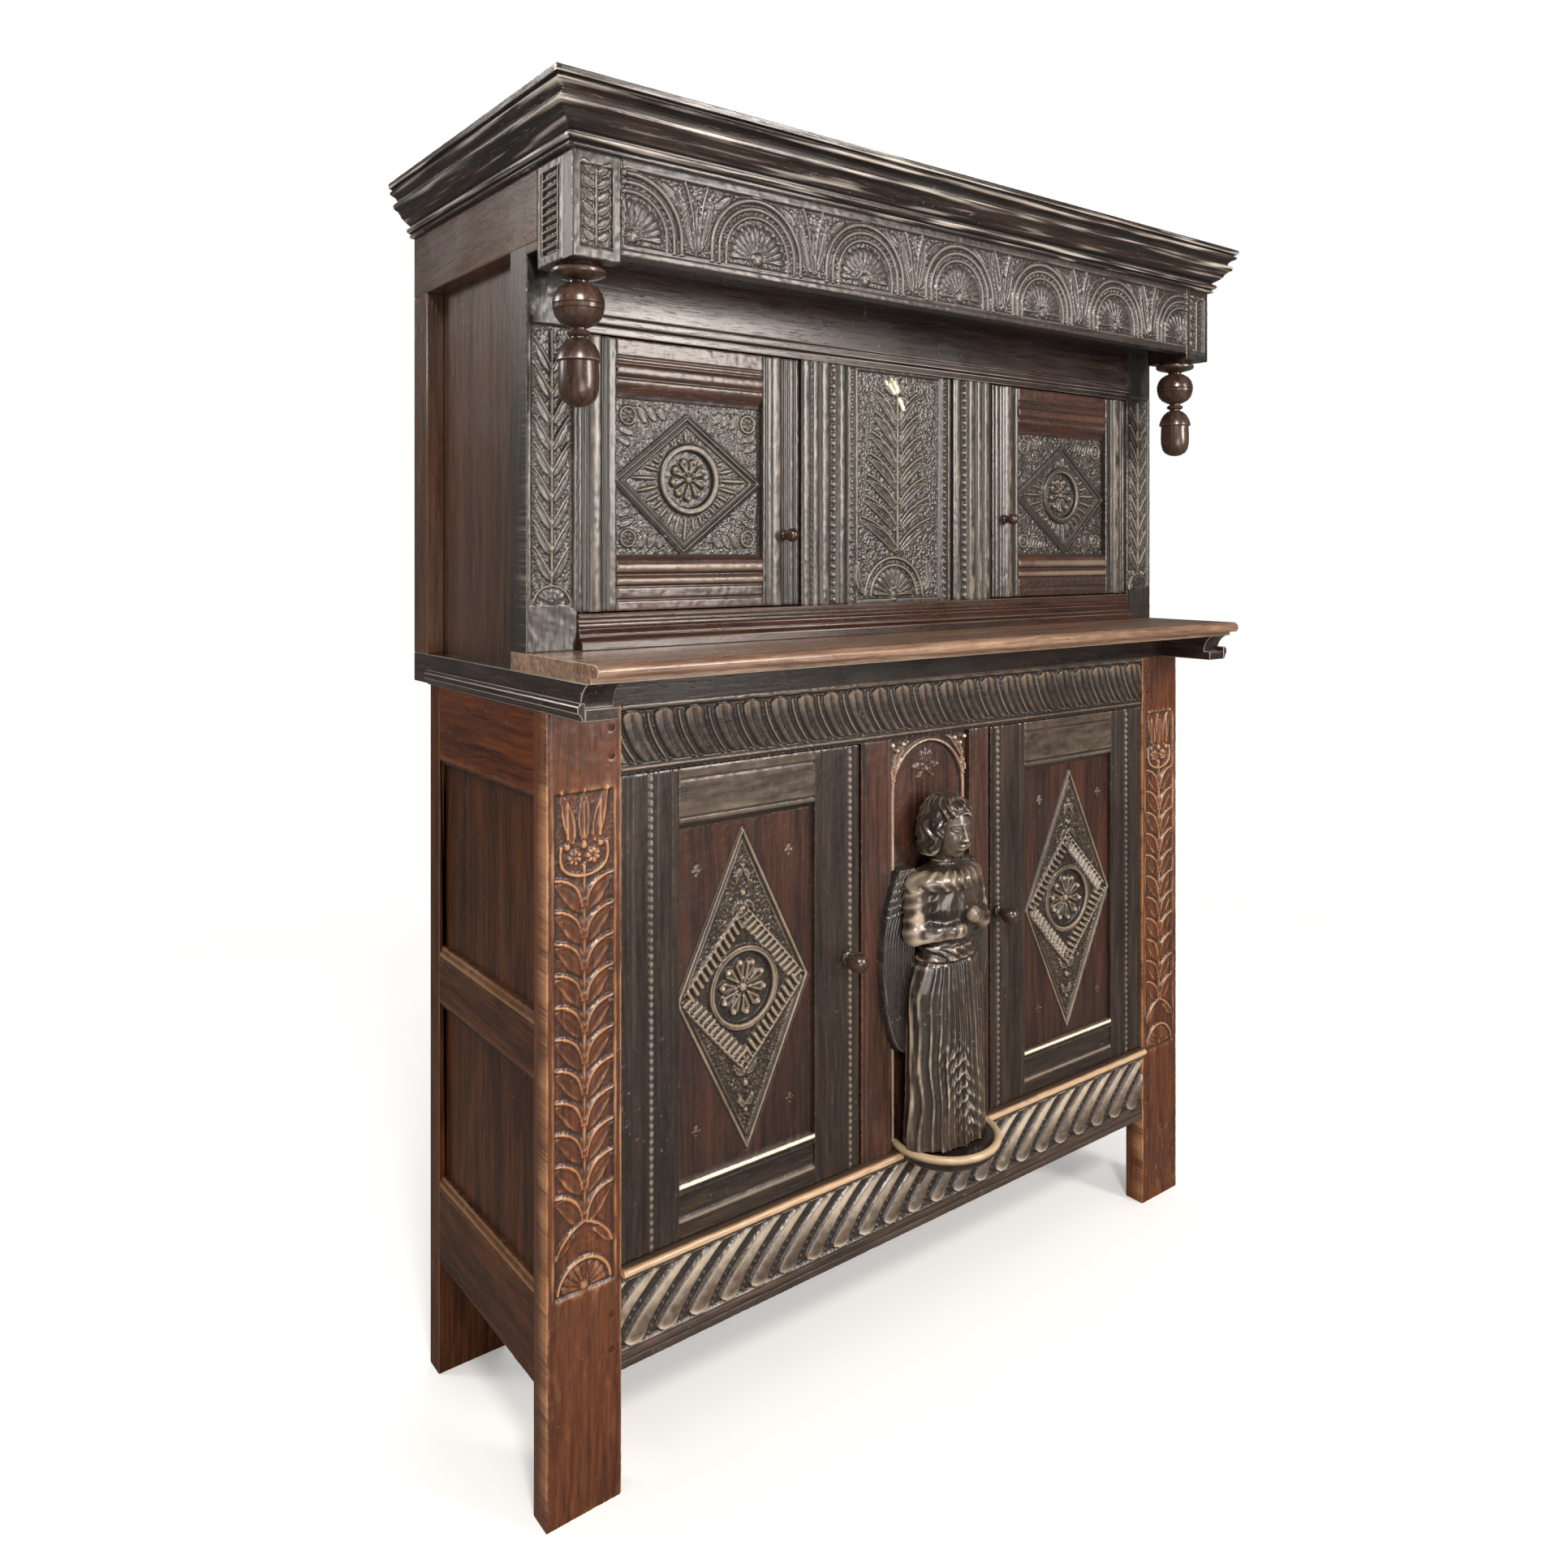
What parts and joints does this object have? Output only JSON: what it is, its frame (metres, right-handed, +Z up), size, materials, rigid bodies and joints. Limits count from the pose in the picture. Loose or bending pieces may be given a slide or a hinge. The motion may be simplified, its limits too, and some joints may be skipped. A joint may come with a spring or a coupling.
{
  "type": "court_cupboard",
  "caption": "Carved oak court cupboard: recessed upper doors under a lunette frieze with turned pendants, and a lower case with lozenge doors and a winged figure.",
  "frame": {"origin": "On the floor, in the middle of the plan of the whole cupboard", "axes": "+Z up, +X to the right of someone who faces the doors, the front faces -Y"},
  "size_m": [1.382, 0.583, 1.757],
  "materials": {
    "oak": "satin",
    "iron": "satin"
  },
  "bodies": {
    "case": {"angel_figure": "oak", "angel_wings": "oak", "base_rail": "oak", "base_rail_bead": "oak", "centre_muntins": "oak", "centre_panel": "oak", "corner_blocks": "oak", "cornice_front": "oak", "cornice_sides": "oak", "figure_bracket": "oak", "frieze_board": "oak", "frieze_side_boards": "oak", "head_rail": "oak", "hinge_pins": "iron", "joint_pegs": "oak", "ledge_board": "oak", "ledge_fascia": "oak", "ledge_side_left": "oak", "ledge_side_mouldings": "oak", "ledge_side_right": "oak", "lower_back_boards": "oak", "lower_back_rails": "oak", "lower_floor": "oak", "lower_front_post_left": "oak", "lower_front_post_right": "oak", "lower_rear_post_left": "oak", "lower_rear_post_right": "oak", "lower_side_panels_left": "oak", "lower_side_panels_right": "oak", "lower_side_rails_left": "oak", "lower_side_rails_right": "oak", "niche_panel": "oak", "niche_stile_left": "oak", "niche_stile_right": "oak", "nulled_rail": "oak", "pendants": "oak", "roof_board": "oak", "soffit_board": "oak", "upper_back_boards": "oak", "upper_floor": "oak", "upper_front_stile_left": "oak", "upper_front_stile_right": "oak", "upper_rear_stiles": "oak", "upper_side_panels": "oak", "upper_sill_rail": "oak"},
    "door_lower_left": {"door_frame_lower_left": "oak", "door_panel_lower_left": "oak"},
    "catch_lower_left": {"latch_lower_left": "oak"},
    "door_lower_right": {"door_frame_lower_right": "oak", "door_panel_lower_right": "oak"},
    "catch_lower_right": {"latch_lower_right": "oak"},
    "door_upper_left": {"door_frame_upper_left": "oak", "door_panel_upper_left": "oak"},
    "catch_upper_left": {"latch_upper_left": "oak"},
    "door_upper_right": {"door_frame_upper_right": "oak", "door_panel_upper_right": "oak"},
    "catch_upper_right": {"latch_upper_right": "oak"}
  },
  "joints": [
    {"name": "door_hinge_lower_left", "type": "hinge", "parent": "case", "child": "door_lower_left", "pos_m": [-0.5375, -0.1505, 0.6025], "axis": [0, 0, 1], "range_deg": [-90, 0]},
    {"name": "catch_turn_lower_left", "type": "hinge", "parent": "door_lower_left", "child": "catch_lower_left", "pos_m": [-0.1665, -0.1585, 0.603], "axis": [0, -1, 0], "range_deg": [0, 90]},
    {"name": "door_hinge_lower_right", "type": "hinge", "parent": "case", "child": "door_lower_right", "pos_m": [0.5375, -0.1505, 0.6025], "axis": [0, 0, 1], "range_deg": [0, 90]},
    {"name": "catch_turn_lower_right", "type": "hinge", "parent": "door_lower_right", "child": "catch_lower_right", "pos_m": [0.1605, -0.1585, 0.611], "axis": [0, 1, 0], "range_deg": [0, 90]},
    {"name": "door_hinge_upper_left", "type": "hinge", "parent": "case", "child": "door_upper_left", "pos_m": [-0.5695, -0.0925, 1.306], "axis": [0, 0, 1], "range_deg": [-90, 0]},
    {"name": "catch_turn_upper_left", "type": "hinge", "parent": "door_upper_left", "child": "catch_upper_left", "pos_m": [-0.237, -0.1005, 1.227], "axis": [0, -1, 0], "range_deg": [0, 90]},
    {"name": "door_hinge_upper_right", "type": "hinge", "parent": "case", "child": "door_upper_right", "pos_m": [0.5695, -0.0925, 1.306], "axis": [0, 0, 1], "range_deg": [0, 90]},
    {"name": "catch_turn_upper_right", "type": "hinge", "parent": "door_upper_right", "child": "catch_upper_right", "pos_m": [0.242, -0.1005, 1.258], "axis": [0, 1, 0], "range_deg": [0, 90]}
  ]
}
